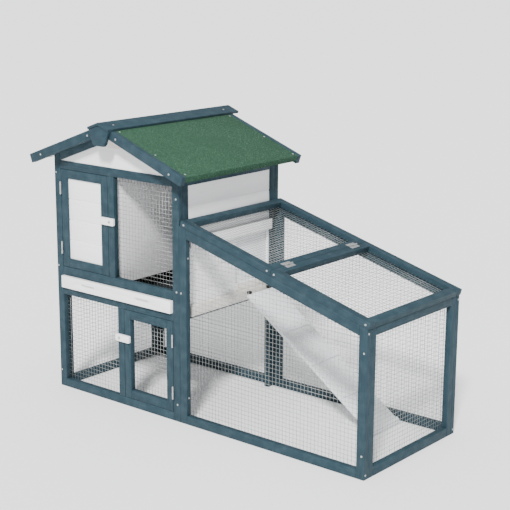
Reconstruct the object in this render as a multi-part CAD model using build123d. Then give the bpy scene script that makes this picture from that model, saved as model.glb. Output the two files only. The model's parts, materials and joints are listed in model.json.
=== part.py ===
from build123d import *
import math
import os

os.makedirs("parts", exist_ok=True)

# Overall sizes in mm. The house stands at the left, the low run at the right.
HOUSE_WIDTH = 530.0
TOTAL_LENGTH = 1200.0
DEPTH = 460.0
WALL_HEIGHT = 742.0
ROOF_SLOPE = math.radians(20.3)
EAVE_OVERHANG = 60.0
OVERHANG_FRONT = 48.0
OVERHANG_BACK = 40.0
RUN_HIGH = 604.0
RUN_LOW = 423.0

# Timber sections.
FRAME = 18.0
STILE = 27.0
SIDE_STILE = 24.0
MULLION = 26.0
LOWER_RAIL = 24.0
MID_RAIL = 28.0
TOP_RAIL = 26.0
TRAY_BAY = 40.0
LOWER_RAIL_Z = 311.0
PLANK = 9.0
PLANK_PITCH = 65.0
GROOVE = 2.2
SET_BACK = 3.0
WIRE = 2.0
WIRE_PITCH = 50.8
WIRE_MARGIN = 1.0

# Roof build-up, measured square to the slope.
DECK = 15.0
FELT = 3.0
FELT_LIP = 19.0
GABLE_RAIL = 27.0
BARGE = 28.0
PURLIN_WIDTH = 46.0
PURLIN_HEIGHT = 57.0
RIDGE_CAP = 8.0
RIDGE_WING = 45.0
RIDGE_NOSE = 15.0
RIDGE_TAIL = 25.0
APEX_PLATE = 12.0
APEX_PLATE_DROP = 62.0
APEX_PLATE_FOOT = 27.0

# Clearances.
GAP = 0.3
DOOR_GAP = 1.5
HINGE_GAP = 2.0
TRAY_GAP = 1.0
PIN_GAP = 0.05

# Doors, buttons and hinges.
DOOR_STILE = 29.5
DOOR_RAIL = 27.5
MESH_DOOR_STILE = 26.0
UPPER_MULLION_SHIFT = 29.0
LOWER_MULLION_SHIFT = 5.0
UPPER_BUTTON_Z = 577.0
LOWER_BUTTON_Z = 218.0
BUTTON_LENGTH = 58.0
BUTTON_WIDTH = 22.0
BUTTON_THICK = 8.0
BUTTON_PIVOT = 17.0
SCREW_SHANK = 2.1
SCREW_HEAD = 4.0
HINGE_LENGTH = 40.0
HINGE_LEAF = 0.8
HINGE_LEAF_DEPTH = 14.0
BARREL = 2.5
PIN = 1.2
HINGE_INSET = 40.0

# Right wall, doorway and ramp.
WALL_FOOT_Z = 322.0
SKIRTING = 33.0
SKIRTING_THICK = 13.0
DOORWAY_Z = 378.0
DOORWAY_HEIGHT = 147.0
DOORWAY_SHARE = 0.4122
DOORWAY_SIDE = 5.0
BATTEN = 32.0
BATTEN_LIFT = 4.0
PANEL_THICK = 5.0
PANEL_LAP = 8.0
GUIDE_LIP = 4.0
RAMP_LENGTH = 595.0
RAMP_WIDTH = 139.0
RAMP_THICK = 9.0
RAMP_SIDE = 23.0
RAMP_HINGE_Z = 345.0
RAMP_HINGE_OUT = 8.0
RAMP_TOP_GAP = 8.0
CLEAT = 5.5
CLEAT_WIDTH = 12.0
CLEAT_PITCH = 137.0
CLEAT_COUNT = 4
HOOK_PIN = 2.0
HOOK_WIDTH = 8.0
HOOK_INSET = 22.0
EAR = 1.5

# Tray.
RUNNER = 18.0
RUNNER_HEIGHT = 30.0
PAN_WALL = 2.5
TRAY_BOARD = 18.0
TRAY_PROUD = 10.0
SLOT_LENGTH = 60.0
SLOT_HEIGHT = 10.0
SLOT_DEPTH = 10.0
PASSAGE_WIDTH = 140.0
PASSAGE_HEIGHT = 183.0
PASSAGE_SIDE = 12.0

# Run.
RUN_RAIL = 28.0
RUN_END_RAIL = 25.0
LID_THICK = 19.0
LID_STILE = 26.0
LID_START = 4.0
LID_HINGE_S = 352.0
LID_OVERHANG = 3.0
LID_HINGE_LENGTH = 38.0
LID_HINGE_INSET = 57.0
LID_HINGE_REACH = 13.5
LID_LEAF = 1.2

# Small screws.
SCREW_CAP = 3.0
SCREW_CAP_THICK = 0.6

# Values derived from the sizes above.
LOWER_RAIL_TOP = LOWER_RAIL_Z + LOWER_RAIL
MID_RAIL_Z = LOWER_RAIL_TOP + TRAY_BAY
MID_RAIL_TOP = MID_RAIL_Z + MID_RAIL
TOP_RAIL_Z = WALL_HEIGHT - TOP_RAIL
RIDGE_X = HOUSE_WIDTH / 2
EAVE_REACH = RIDGE_X + EAVE_OVERHANG
UPPER_MULLION_X = RIDGE_X - UPPER_MULLION_SHIFT
LOWER_MULLION_X = RIDGE_X + LOWER_MULLION_SHIFT
WIRE_DEPTH = FRAME - WIRE * 2 - WIRE_MARGIN
SLOPE_TAN = math.tan(ROOF_SLOPE)
SLOPE_COS = math.cos(ROOF_SLOPE)
SLOPE_SIN = math.sin(ROOF_SLOPE)
ROOF_BUILD = DECK + FELT
APEX_Z = WALL_HEIGHT + (RIDGE_X - STILE) * SLOPE_TAN + (ROOF_BUILD + GABLE_RAIL) / SLOPE_COS
EAVE_T = EAVE_REACH / SLOPE_COS
RIGHT_POST_X = HOUSE_WIDTH - STILE
RUN_SLOPE = math.atan((RUN_HIGH - RUN_LOW) / (TOTAL_LENGTH - HOUSE_WIDTH))
RUN_TAN = math.tan(RUN_SLOPE)
RUN_SLANT = (TOTAL_LENGTH - HOUSE_WIDTH) / math.cos(RUN_SLOPE)
LID_END = RUN_SLANT + LID_OVERHANG
LID_AXIS_N = LID_THICK + BARREL + GAP
DOORWAY_WIDTH = (DEPTH - (FRAME + SIDE_STILE) * 2) * DOORWAY_SHARE
DOORWAY_Y1 = DEPTH - FRAME - SIDE_STILE - DOORWAY_SIDE
DOORWAY_Y0 = DOORWAY_Y1 - DOORWAY_WIDTH
DOORWAY_TOP = DOORWAY_Z + DOORWAY_HEIGHT
PLANK_INNER_X = HOUSE_WIDTH - SET_BACK - PLANK
SKIRTING_FACE_X = HOUSE_WIDTH - SET_BACK + SKIRTING_THICK
RAMP_AXIS_X = SKIRTING_FACE_X + RAMP_HINGE_OUT
RAMP_HALF = RAMP_THICK / 2
RAMP_ANGLE = (math.asin(RAMP_HINGE_Z / math.hypot(RAMP_LENGTH, RAMP_HALF))
              - math.atan(RAMP_HALF / RAMP_LENGTH))
RAMP_Y1 = DEPTH - FRAME - RAMP_SIDE
RAMP_Y0 = RAMP_Y1 - RAMP_WIDTH
RIGHT_EXTENT = HOUSE_WIDTH + LID_END * math.cos(RUN_SLOPE) + LID_THICK * math.sin(RUN_SLOPE)
CENTRE_X = (RIDGE_X - EAVE_REACH + RIGHT_EXTENT) / 2
CENTRE_Y = (DEPTH + OVERHANG_BACK + RIDGE_TAIL - OVERHANG_FRONT - RIDGE_NOSE) / 2


def block(x0, x1, y0, y1, z0, z1):
    """Rectangular timber between two corners."""
    return Pos((x0 + x1) / 2, (y0 + y1) / 2, (z0 + z1) / 2) * Box(x1 - x0, y1 - y0, z1 - z0)


def prism_y(points, y0, y1):
    """Outline drawn in X and Z, extended between two depths."""
    plane = Plane(origin=(0, y1, 0), x_dir=(1, 0, 0), z_dir=(0, -1, 0))
    return extrude(plane * Polygon(*points, align=None), y1 - y0, dir=plane.z_dir)


def prism_x(points, x0, x1):
    """Outline drawn in Y and Z, extended between two widths."""
    plane = Plane(origin=(x0, 0, 0), x_dir=(0, 1, 0), z_dir=(1, 0, 0))
    return extrude(plane * Polygon(*points, align=None), x1 - x0, dir=plane.z_dir)


def rod(start, end, radius):
    """Round bar between two points."""
    axis = Vector(*end) - Vector(*start)
    plane = Plane(origin=start, z_dir=axis)
    return extrude(plane * Circle(radius), axis.length)


def save(name, *solids):
    """Write one named piece, moved so the origin is under the middle of the hutch."""
    shift = Pos(-CENTRE_X, -CENTRE_Y, 0)
    placed = [shift * solid for item in solids for solid in item.solids()]
    piece = placed[0] if len(placed) == 1 else Compound(children=placed)
    piece.label = name
    export_step(piece, f"parts/{name}.step")


def mirrored_x(shape):
    """Copy on the other side of the ridge line."""
    return mirror(shape, about=Plane.YZ.offset(RIDGE_X))


def mirrored_y(shape):
    """Copy on the other face of the house."""
    return mirror(shape, about=Plane.XZ.offset(-DEPTH / 2))


def roof_point(t, n):
    """Point on the right slope: t down the slope from the apex, n out of the felt."""
    return (RIDGE_X + t * SLOPE_COS + n * SLOPE_SIN, APEX_Z - t * SLOPE_SIN + n * SLOPE_COS)


def ridge_point(n):
    """Point above or below the apex on the right slope's line at height n."""
    return roof_point(-n * SLOPE_TAN, n)


def deck_z(x):
    """Height of the deck's underside above a point between the walls."""
    return APEX_Z - abs(x - RIDGE_X) * SLOPE_TAN - ROOF_BUILD / SLOPE_COS


def run_z(x):
    """Height of the joint between the run's walls and its roof panels."""
    return RUN_HIGH - (x - HOUSE_WIDTH) * RUN_TAN


def slope_plane():
    """Run roof plane: X down the slope, Y across, Z out of the joint."""
    x_dir = (math.cos(RUN_SLOPE), 0, -math.sin(RUN_SLOPE))
    z_dir = (math.sin(RUN_SLOPE), 0, math.cos(RUN_SLOPE))
    return Plane(origin=(HOUSE_WIDTH, 0, RUN_HIGH), x_dir=x_dir, z_dir=z_dir)


def ramp_plane():
    """Ramp plane at its hooks: X down the ramp, Y across, Z out of the board."""
    x_dir = (math.cos(RAMP_ANGLE), 0, -math.sin(RAMP_ANGLE))
    z_dir = (math.sin(RAMP_ANGLE), 0, math.cos(RAMP_ANGLE))
    return Plane(origin=(RAMP_AXIS_X, 0, RAMP_HINGE_Z), x_dir=x_dir, z_dir=z_dir)


def on(plane, shape):
    """Move a shape built at the origin into a sloping plane."""
    return plane.location * shape


def spaced(low, high, pitch):
    """Even positions between two ends, close to a pitch."""
    count = max(2, round((high - low) / pitch))
    step = (high - low) / count
    return [low + step * index for index in range(1, count)]


def wire_layers(outline):
    """Upright and level wires welded together inside a convex outline, around its own plane."""
    us = [point[0] for point in outline]
    vs = [point[1] for point in outline]
    u0, u1, v0, v1 = min(us), max(us), min(vs), max(vs)
    edge = Polygon(*outline, align=None)
    uprights = [Pos(u, (v0 + v1) / 2) * Rectangle(WIRE, v1 - v0) for u in spaced(u0, u1, WIRE_PITCH)]
    levels = [Pos((u0 + u1) / 2, v) * Rectangle(u1 - u0, WIRE) for v in spaced(v0, v1, WIRE_PITCH)]
    front = [extrude(edge & bar, WIRE) for bar in uprights]
    back = [Pos(0, 0, -WIRE) * extrude(edge & bar, WIRE) for bar in levels]
    return front + back


def mesh_y(outline, y0):
    """Wire panel facing the front."""
    plane = Plane(origin=(0, y0 + WIRE, 0), x_dir=(1, 0, 0), z_dir=(0, -1, 0))
    return [on(plane, wire) for wire in wire_layers(outline)]


def mesh_x(outline, x0):
    """Wire panel facing the right."""
    plane = Plane(origin=(x0 - WIRE, 0, 0), x_dir=(0, 1, 0), z_dir=(1, 0, 0))
    return [on(plane, wire) for wire in wire_layers(outline)]


def rectangle(u0, u1, v0, v1):
    """Corners of a rectangle, in order."""
    return [(u0, v0), (u1, v0), (u1, v1), (u0, v1)]


def plank_outline(outer, inner, z0, z1, sign):
    """Cross-section of horizontal boards with a V-groove at every joint."""
    points = [(inner, z0), (inner, z1), (outer, z1)]
    joint = z1 - PLANK_PITCH
    while joint > z0 + GROOVE * 2:
        points += [(outer, joint + GROOVE), (outer + sign * GROOVE, joint), (outer, joint - GROOVE)]
        joint -= PLANK_PITCH
    return points + [(outer, z0)]


def front_post():
    """Left front corner post, cut to the roof slope."""
    return prism_y([(0, 0), (STILE, 0), (STILE, deck_z(STILE)), (0, deck_z(0))], 0, FRAME)


def make_posts():
    """Front corner posts."""
    save("front_post_left", front_post())
    save("front_post_right", mirrored_x(front_post()))


def make_front_rails():
    """Horizontal rails and mullions of the front."""
    def rail(z0, z1):
        return block(STILE, RIGHT_POST_X, 0, FRAME, z0, z1)

    save("front_rails", rail(0, STILE), rail(LOWER_RAIL_Z, LOWER_RAIL_TOP), rail(MID_RAIL_Z, MID_RAIL_TOP),
         rail(TOP_RAIL_Z, WALL_HEIGHT))
    upper_x1 = UPPER_MULLION_X + MULLION
    save("upper_mullion", block(UPPER_MULLION_X, upper_x1, 0, FRAME, MID_RAIL_TOP, TOP_RAIL_Z))
    lower_x1 = LOWER_MULLION_X + MULLION
    save("lower_mullion", block(LOWER_MULLION_X, lower_x1, 0, FRAME, STILE, LOWER_RAIL_Z))


def make_front_meshes():
    """Fixed wire panels of the front and back."""
    window = rectangle(UPPER_MULLION_X + MULLION, RIGHT_POST_X, MID_RAIL_TOP, TOP_RAIL_Z)
    save("window_mesh", *mesh_y(window, WIRE_DEPTH))
    lower = rectangle(STILE, LOWER_MULLION_X, STILE, LOWER_RAIL_Z)
    save("lower_front_mesh", *mesh_y(lower, WIRE_DEPTH))
    back = rectangle(STILE, RIGHT_POST_X, STILE, LOWER_RAIL_Z)
    save("lower_back_mesh", *[mirrored_y(wire) for wire in mesh_y(back, WIRE_DEPTH)])


def make_back():
    """Back frame and the boarded back wall."""
    y0 = DEPTH - FRAME
    spans = [(0, STILE), (LOWER_RAIL_Z, LOWER_RAIL_TOP), (TOP_RAIL_Z, WALL_HEIGHT)]
    rails = [block(STILE, RIGHT_POST_X, y0, DEPTH, z0, z1) for z0, z1 in spans]
    post = mirrored_y(front_post())
    save("back_frame", post, mirrored_x(post), *rails)
    outer = DEPTH - SET_BACK
    outline = plank_outline(outer, outer - PLANK, LOWER_RAIL_TOP, TOP_RAIL_Z, -1)
    save("back_planks", prism_x(outline, STILE, RIGHT_POST_X))


def side_timbers():
    """Stiles and top rail of the left side, cut to the roof slope."""
    outline = [(0, 0), (FRAME, 0), (FRAME, deck_z(FRAME)), (0, deck_z(0))]
    front = prism_y(outline, FRAME, FRAME + SIDE_STILE)
    top_outline = [(0, TOP_RAIL_Z), (FRAME, TOP_RAIL_Z), (FRAME, deck_z(FRAME)), (0, deck_z(0))]
    top = prism_y(top_outline, FRAME + SIDE_STILE, DEPTH - FRAME - SIDE_STILE)
    return [front, mirrored_y(front), top]


def make_left_side():
    """Left frame, boards above and wire below."""
    y0 = FRAME + SIDE_STILE
    y1 = DEPTH - y0
    bottom = block(0, FRAME, y0, y1, 0, STILE)
    middle = block(0, FRAME, y0, y1, LOWER_RAIL_Z, LOWER_RAIL_TOP)
    save("left_side_frame", *side_timbers(), bottom, middle)
    outline = plank_outline(SET_BACK, SET_BACK + PLANK, LOWER_RAIL_TOP, TOP_RAIL_Z, 1)
    save("left_planks", prism_y(outline, y0, y1))
    wires = mesh_x(rectangle(y0, y1, STILE, LOWER_RAIL_Z), FRAME - WIRE_DEPTH)
    save("lower_left_mesh", *[mirror(wire, about=Plane.YZ.offset(FRAME / 2)) for wire in wires])


def make_right_side():
    """Right frame and the boarded wall with the doorway to the ramp."""
    y0 = FRAME + SIDE_STILE
    y1 = DEPTH - y0
    save("right_side_frame", *[mirrored_x(timber) for timber in side_timbers()])
    outer = HOUSE_WIDTH - SET_BACK
    outline = plank_outline(outer, PLANK_INNER_X, WALL_FOOT_Z, TOP_RAIL_Z, -1)
    doorway = block(PLANK_INNER_X - 1, outer + 1, DOORWAY_Y0, DOORWAY_Y1, DOORWAY_Z, DOORWAY_TOP)
    save("right_planks", prism_y(outline, y0, y1) - doorway)
    skirting_top = WALL_FOOT_Z + SKIRTING
    save("wall_skirting", block(outer, SKIRTING_FACE_X, y0, y1, WALL_FOOT_Z, skirting_top))
    batten_z = DOORWAY_TOP + BATTEN_LIFT
    save("wall_batten", block(outer, SKIRTING_FACE_X, y0, y1, batten_z, batten_z + BATTEN))
    step_x = outer + SKIRTING_THICK / 2
    save("doorway_threshold", block(outer, step_x, DOORWAY_Y0, y1, skirting_top, DOORWAY_Z))


def make_sliding_door():
    """Door panel inside the doorway and the two guides it slides in."""
    x1 = PLANK_INNER_X - GAP
    x0 = x1 - PANEL_THICK
    y1 = DEPTH - FRAME - SIDE_STILE - GAP
    y0 = DOORWAY_Y0 - PANEL_LAP
    z0 = DOORWAY_Z - PANEL_LAP
    z1 = DOORWAY_TOP + PANEL_LAP
    save("sliding_door", block(x0, x1, y0, y1, z0, z1))
    guide_y0 = y0 - DOORWAY_WIDTH
    lip_x = x0 - GAP
    solids = []
    for edge, direction in ((z0, -1), (z1, 1)):
        near = edge + direction * GAP
        far = near + direction * PANEL_LAP
        inner = edge - direction * (PANEL_LAP - GAP)
        base = block(lip_x, PLANK_INNER_X, guide_y0, y1, min(near, far), max(near, far))
        lip = block(lip_x - GUIDE_LIP, lip_x, guide_y0, y1, min(inner, far), max(inner, far))
        solids.append(base + lip)
    save("slide_guides", *solids)


def make_partition():
    """Wall between the sleeping room and the window room, with a passage at the back."""
    x0 = UPPER_MULLION_X + (MULLION - PLANK) / 2 - GAP
    top = APEX_Z - ROOF_BUILD / SLOPE_COS - PURLIN_HEIGHT
    y0 = FRAME
    y1 = DEPTH - FRAME
    passage_y1 = y1 - PASSAGE_SIDE
    passage_y0 = passage_y1 - PASSAGE_WIDTH
    z0 = MID_RAIL_Z + WIRE
    z1 = z0 + PASSAGE_HEIGHT
    points = [(y0, z0), (passage_y0, z0), (passage_y0, z1), (passage_y1, z1), (passage_y1, z0),
              (y1, z0), (y1, top), (y0, top)]
    save("partition", prism_x(points, x0, x0 + PLANK))


def make_tray():
    """Pull-out tray: plastic pan, white front board and the runners it rides on."""
    board_z0 = LOWER_RAIL_TOP + TRAY_GAP
    board_z1 = MID_RAIL_Z - TRAY_GAP
    x0 = STILE + DOOR_GAP
    x1 = RIGHT_POST_X - DOOR_GAP
    runner_z1 = board_z0 - GAP
    runner_z0 = runner_z1 - RUNNER_HEIGHT
    y1 = DEPTH - FRAME
    left = block(FRAME, FRAME + RUNNER, FRAME, y1, runner_z0, runner_z1)
    save("tray_runners", left, mirrored_x(left))
    board_y1 = TRAY_BOARD - TRAY_PROUD
    pan = block(x0, x1, board_y1, y1 - TRAY_GAP, board_z0, board_z1)
    hollow = block(x0 + PAN_WALL, x1 - PAN_WALL, board_y1 + PAN_WALL, y1 - TRAY_GAP - PAN_WALL,
                   board_z0 + PAN_WALL, board_z1 + 1)
    save("tray_pan", pan - hollow)
    board = block(x0, x1, -TRAY_PROUD, board_y1, board_z0, board_z1)
    middle_z = (board_z0 + board_z1) / 2
    for centre in (RIDGE_X - (x1 - x0) / 4, RIDGE_X + (x1 - x0) / 4):
        slot = block(centre - SLOT_LENGTH / 2, centre + SLOT_LENGTH / 2, -TRAY_PROUD - 1,
                     SLOT_DEPTH - TRAY_PROUD, middle_z - SLOT_HEIGHT / 2, middle_z + SLOT_HEIGHT / 2)
        board -= fillet(slot.edges().filter_by(Axis.Y), SLOT_HEIGHT / 2 - GAP)
    save("tray_front", board)


def make_gables():
    """White gable panels, sloping gable rails and the ridge purlin."""
    purlin_x = RIDGE_X - PURLIN_WIDTH / 2
    purlin_z = APEX_Z - ROOF_BUILD / SLOPE_COS - PURLIN_HEIGHT
    drop = GABLE_RAIL / SLOPE_COS
    points = [(purlin_x, purlin_z), (RIDGE_X * 2 - purlin_x, purlin_z),
              (RIDGE_X * 2 - purlin_x, deck_z(purlin_x)),
              (RIDGE_X, deck_z(RIDGE_X)), (purlin_x, deck_z(purlin_x))]
    save("ridge_purlin", prism_y(points, 0, DEPTH))
    rail = prism_y([(STILE, WALL_HEIGHT), (purlin_x, deck_z(purlin_x) - drop), (purlin_x, deck_z(purlin_x)),
                    (STILE, deck_z(STILE))], 0, FRAME)
    rails = [rail, mirrored_x(rail)]
    save("gable_rails", *rails, *[mirrored_y(item) for item in rails])
    panel_points = [(STILE, WALL_HEIGHT), (RIGHT_POST_X, WALL_HEIGHT),
                    (RIDGE_X * 2 - purlin_x, deck_z(purlin_x) - drop), (RIDGE_X * 2 - purlin_x, purlin_z),
                    (purlin_x, purlin_z), (purlin_x, deck_z(purlin_x) - drop)]
    panel = prism_y(panel_points, SET_BACK, SET_BACK + PLANK)
    save("gable_panels", panel, mirrored_y(panel))


def make_roof():
    """Decks, felt, barge boards, ridge cap and apex plate."""
    y0 = -OVERHANG_FRONT
    y1 = DEPTH + OVERHANG_BACK
    inner_y0 = y0 + FRAME
    inner_y1 = y1 - FRAME
    deck_points = [ridge_point(-FELT), roof_point(EAVE_T - FELT, -FELT),
                   roof_point(EAVE_T - FELT, -ROOF_BUILD), ridge_point(-ROOF_BUILD)]
    deck = prism_y(deck_points, inner_y0, inner_y1)
    save("roof_decks", deck, mirrored_x(deck))
    felt_points = [ridge_point(0), roof_point(EAVE_T, 0), roof_point(EAVE_T, -FELT_LIP),
                   roof_point(EAVE_T - FELT, -FELT_LIP), roof_point(EAVE_T - FELT, -FELT), ridge_point(-FELT)]
    felt = prism_y(felt_points, inner_y0, inner_y1)
    save("roof_felt", felt, mirrored_x(felt))
    barge_points = [ridge_point(0), roof_point(EAVE_T, 0), roof_point(EAVE_T, -BARGE), ridge_point(-BARGE)]
    front = prism_y(barge_points, y0, inner_y0)
    back = prism_y(barge_points, inner_y1, y1)
    save("barge_boards", front, mirrored_x(front), back, mirrored_x(back))
    wing = [ridge_point(RIDGE_CAP), roof_point(RIDGE_WING, RIDGE_CAP),
            roof_point(RIDGE_WING, 0), ridge_point(0)]
    cap = prism_y(wing, y0 - RIDGE_NOSE, y1 + RIDGE_TAIL)
    save("ridge_cap", cap + mirrored_x(cap))
    top_half = RIDGE_WING * SLOPE_COS
    shoulder = APEX_Z - top_half * SLOPE_TAN
    foot = APEX_Z - APEX_PLATE_DROP
    half = APEX_PLATE_FOOT
    chamfer = half / 4
    plate = [(RIDGE_X, APEX_Z), (RIDGE_X - top_half, shoulder), (RIDGE_X - half, foot + chamfer),
             (RIDGE_X - half + chamfer, foot), (RIDGE_X + half - chamfer, foot),
             (RIDGE_X + half, foot + chamfer), (RIDGE_X + top_half, shoulder)]
    save("apex_plate", prism_y(plate, y0 - APEX_PLATE, y0))


def frame_solids(x0, x1, z0, z1, stile, rail):
    """Two full-height stiles with two rails between them, in the front plane."""
    return [block(x0, x0 + stile, 0, FRAME, z0, z1), block(x1 - stile, x1, 0, FRAME, z0, z1),
            block(x0 + stile, x1 - stile, 0, FRAME, z0, z0 + rail),
            block(x0 + stile, x1 - stile, 0, FRAME, z1 - rail, z1)]


def upper_door_size():
    """Edges of the plank door: left, right, bottom, top."""
    return (STILE + HINGE_GAP, UPPER_MULLION_X - DOOR_GAP, MID_RAIL_TOP + TRAY_GAP, TOP_RAIL_Z - TRAY_GAP)


def lower_door_size():
    """Edges of the wire door: left, right, bottom, top."""
    x0 = LOWER_MULLION_X + MULLION + DOOR_GAP
    return (x0, RIGHT_POST_X - HINGE_GAP, STILE + TRAY_GAP, LOWER_RAIL_Z - TRAY_GAP)


def make_upper_door():
    """Plank door of the sleeping room."""
    x0, x1, z0, z1 = upper_door_size()
    save("upper_door_frame", *frame_solids(x0, x1, z0, z1, DOOR_STILE, DOOR_RAIL))
    outline = plank_outline(SET_BACK + 1, SET_BACK + 1 + PLANK, z0 + DOOR_RAIL, z1 - DOOR_RAIL, 1)
    save("upper_door_planks", prism_x(outline, x0 + DOOR_STILE, x1 - DOOR_STILE))


def make_lower_door():
    """Wire door of the lower room."""
    x0, x1, z0, z1 = lower_door_size()
    save("lower_door_frame", *frame_solids(x0, x1, z0, z1, MESH_DOOR_STILE, DOOR_RAIL))
    inner = rectangle(x0 + MESH_DOOR_STILE, x1 - MESH_DOOR_STILE, z0 + DOOR_RAIL, z1 - DOOR_RAIL)
    save("lower_door_mesh", *mesh_y(inner, WIRE_DEPTH))


def butt_hinge(length, barrel, pin, leaf_solids):
    """Fixed and moving halves of a hinge whose pin stands on Z at the origin.

    leaf_solids gives, for a side and a height range, that side's leaf plate and its tongue.
    """
    third = length / 3
    plate_a, tongue_a = leaf_solids(-1)
    plate_b, tongue_b = leaf_solids(1)
    fixed = rod((0, 0, 0), (0, 0, length), pin)
    for z0, z1 in ((0, third), (third * 2, length)):
        fixed += rod((0, 0, z0), (0, 0, z1), barrel) + tongue_a(z0, z1)
    fixed += plate_a(0, length)
    moving = plate_b(0, length) + tongue_b(third + GAP, third * 2 - GAP)
    moving += rod((0, 0, third + GAP), (0, 0, third * 2 - GAP), barrel)
    moving -= rod((0, 0, -1), (0, 0, length + 1), pin + PIN_GAP)
    return fixed, moving


def edge_leaf(side):
    """Leaf set in the gap between a door's edge and its post."""
    outer = side * HINGE_GAP / 2
    inner = side * (HINGE_GAP / 2 - HINGE_LEAF)
    x0, x1 = min(outer, inner), max(outer, inner)
    clear = BARREL + GAP
    far = clear + HINGE_LEAF_DEPTH

    def plate(z0, z1):
        return block(x0, x1, clear, far, z0, z1)

    def tongue(z0, z1):
        return block(x0, x1, PIN + GAP, clear, z0, z1)

    return plate, tongue


def top_leaf(side):
    """Leaf screwed flat on top of the run's roof, measured from the hinge pin."""
    clear = BARREL + GAP * 2
    y0 = -LID_AXIS_N + LID_THICK
    y1 = y0 + LID_LEAF
    ends = sorted((side * clear, side * LID_HINGE_REACH))

    def plate(z0, z1):
        return block(ends[0], ends[1], y0, y1, z0, z1)

    def tongue(z0, z1):
        inner, outer = sorted((0, side * clear))
        return block(inner, outer, y0 + GAP, y1, z0, z1)

    return plate, tongue


def make_door_hinges():
    """Butt hinges of the two front doors."""
    axis_y = -BARREL - GAP
    fixed_solids = []
    doors = [("upper_door_hinges", upper_door_size(), STILE + HINGE_GAP / 2, 1),
             ("lower_door_hinges", lower_door_size(), RIGHT_POST_X - HINGE_GAP / 2, -1)]
    for name, (_, _, z0, z1), axis_x, side in doors:
        fixed, moving = butt_hinge(HINGE_LENGTH, BARREL, PIN, edge_leaf)
        if side < 0:
            fixed = mirror(fixed, about=Plane.YZ)
            moving = mirror(moving, about=Plane.YZ)
        places = [Pos(axis_x, axis_y, z0 + HINGE_INSET), Pos(axis_x, axis_y, z1 - HINGE_INSET - HINGE_LENGTH)]
        fixed_solids += [place * fixed for place in places]
        save(name, *[place * moving for place in places])
    save("door_hinge_plates", *fixed_solids)


def make_buttons():
    """White turn-buttons on the mullions and the screws they turn on."""
    y1 = -GAP
    y0 = y1 - BUTTON_THICK
    screws = []
    for name, mullion_x, z, side in (("upper_turn_button", UPPER_MULLION_X, UPPER_BUTTON_Z, -1),
                                     ("lower_turn_button", LOWER_MULLION_X, LOWER_BUTTON_Z, 1)):
        x = mullion_x + MULLION / 2
        ends = sorted((x - side * BUTTON_PIVOT, x + side * (BUTTON_LENGTH - BUTTON_PIVOT)))
        body = block(ends[0], ends[1], y0, y1, z - BUTTON_WIDTH / 2, z + BUTTON_WIDTH / 2)
        body = fillet(body.edges().filter_by(Axis.Y), BUTTON_WIDTH / 7)
        bore = rod((x, y0 - 1, z), (x, y1 + 1, z), SCREW_SHANK + PIN_GAP)
        save(name, body - bore)
        shank = rod((x, y0 - GAP, z), (x, 0, z), SCREW_SHANK)
        head = rod((x, y0 - GAP - SCREW_SHANK, z), (x, y0 - GAP, z), SCREW_HEAD)
        screws.append(shank + head)
    save("turn_button_screws", *screws)


def make_ramp():
    """Ramp board, cleats, hooks and the brackets on the wall."""
    plane = ramp_plane()
    board = block(RAMP_TOP_GAP, RAMP_LENGTH, RAMP_Y0, RAMP_Y1, -RAMP_HALF, RAMP_HALF)
    save("ramp_board", on(plane, board))
    foot = RAMP_LENGTH - CLEAT_WIDTH * 1.5
    cleats = [block(foot - CLEAT_PITCH * index, foot - CLEAT_PITCH * index + CLEAT_WIDTH, RAMP_Y0, RAMP_Y1,
                    RAMP_HALF, RAMP_HALF + CLEAT) for index in range(CLEAT_COUNT)]
    save("ramp_cleats", *[on(plane, cleat) for cleat in cleats])
    hooks = []
    brackets = []
    eye = HOOK_PIN + PIN_GAP + EAR * 1.5
    for centre in (RAMP_Y0 + HOOK_INSET, RAMP_Y1 - HOOK_INSET):
        y0 = centre - HOOK_WIDTH / 2
        y1 = centre + HOOK_WIDTH / 2
        hook = rod((0, y0, 0), (0, y1, 0), eye)
        hook += block(0, RAMP_TOP_GAP, y0, y1, -EAR, EAR)
        hook -= rod((0, y0 - 1, 0), (0, y1 + 1, 0), HOOK_PIN + PIN_GAP)
        hooks.append(on(plane, hook))
        ear_y0 = y0 - GAP - EAR
        ear_y1 = y1 + GAP + EAR
        ear_z0 = RAMP_HINGE_Z - eye
        ear_z1 = RAMP_HINGE_Z + eye
        plate_x1 = SKIRTING_FACE_X + EAR
        bracket = block(SKIRTING_FACE_X, plate_x1, ear_y0, ear_y1, ear_z0, ear_z1)
        bracket += block(plate_x1, RAMP_AXIS_X + eye, ear_y0, ear_y0 + EAR, ear_z0, ear_z1)
        bracket += block(plate_x1, RAMP_AXIS_X + eye, ear_y1 - EAR, ear_y1, ear_z0, ear_z1)
        bracket += rod((RAMP_AXIS_X, ear_y0, RAMP_HINGE_Z), (RAMP_AXIS_X, ear_y1, RAMP_HINGE_Z), HOOK_PIN)
        brackets.append(bracket)
    save("ramp_hooks", *hooks)
    save("ramp_brackets", *brackets)


def make_run_walls():
    """Front, back and end frames of the run with their wire."""
    x0 = HOUSE_WIDTH
    x1 = TOTAL_LENGTH
    left = x0 + STILE
    right = x1 - STILE
    drop = RUN_RAIL / math.cos(RUN_SLOPE)
    solids = [prism_y([(x0, 0), (left, 0), (left, run_z(left)), (x0, run_z(x0))], 0, FRAME),
              prism_y([(right, 0), (x1, 0), (x1, run_z(x1)), (right, run_z(right))], 0, FRAME),
              block(left, right, 0, FRAME, 0, STILE),
              prism_y([(left, run_z(left) - drop), (right, run_z(right) - drop), (right, run_z(right)),
                       (left, run_z(left))], 0, FRAME)]
    save("run_front_frame", *solids)
    save("run_back_frame", *[mirrored_y(solid) for solid in solids])
    wires = mesh_y([(left, STILE), (right, STILE), (right, run_z(right) - drop), (left, run_z(left) - drop)],
                   WIRE_DEPTH)
    save("run_front_mesh", *wires)
    save("run_back_mesh", *[mirrored_y(wire) for wire in wires])
    make_run_end(x1)


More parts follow.
